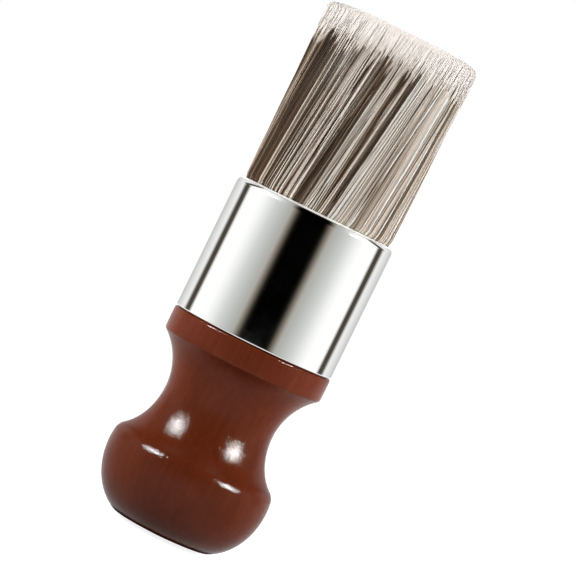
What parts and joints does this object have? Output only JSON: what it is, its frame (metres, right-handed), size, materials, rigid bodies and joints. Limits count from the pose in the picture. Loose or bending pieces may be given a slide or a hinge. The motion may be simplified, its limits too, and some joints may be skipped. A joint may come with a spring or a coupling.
{
  "type": "leather polish brush",
  "caption": "Round shoe and leather polish brush: lacquered wooden bulb handle, chromed ferrule and a dense flat-topped knot of soft filaments.",
  "frame": {"origin": "centre of the flat foot on which the brush stands", "axes": "+Z along the brush's axis from the foot to the tips; the brush is round, so X and Y are free"},
  "size_m": [0.0408, 0.0408, 0.1308],
  "materials": {
    "handle_wood": "red-brown stain under clear gloss lacquer",
    "ferrule_chrome": "polished chrome plate",
    "set_glue": "set amber glue",
    "potting_resin": "cast amber resin",
    "binding_thread": "waxed linen thread",
    "bristle_filament": "mixed grey-brown filaments with pale tips"
  },
  "bodies": {
    "root": {"handle": "handle_wood", "ferrule": "ferrule_chrome", "glue_ring_1": "set_glue", "glue_ring_2": "set_glue", "resin_plug": "potting_resin", "root_binding": "binding_thread", "bristles": "bristle_filament"}
  },
  "joints": []
}
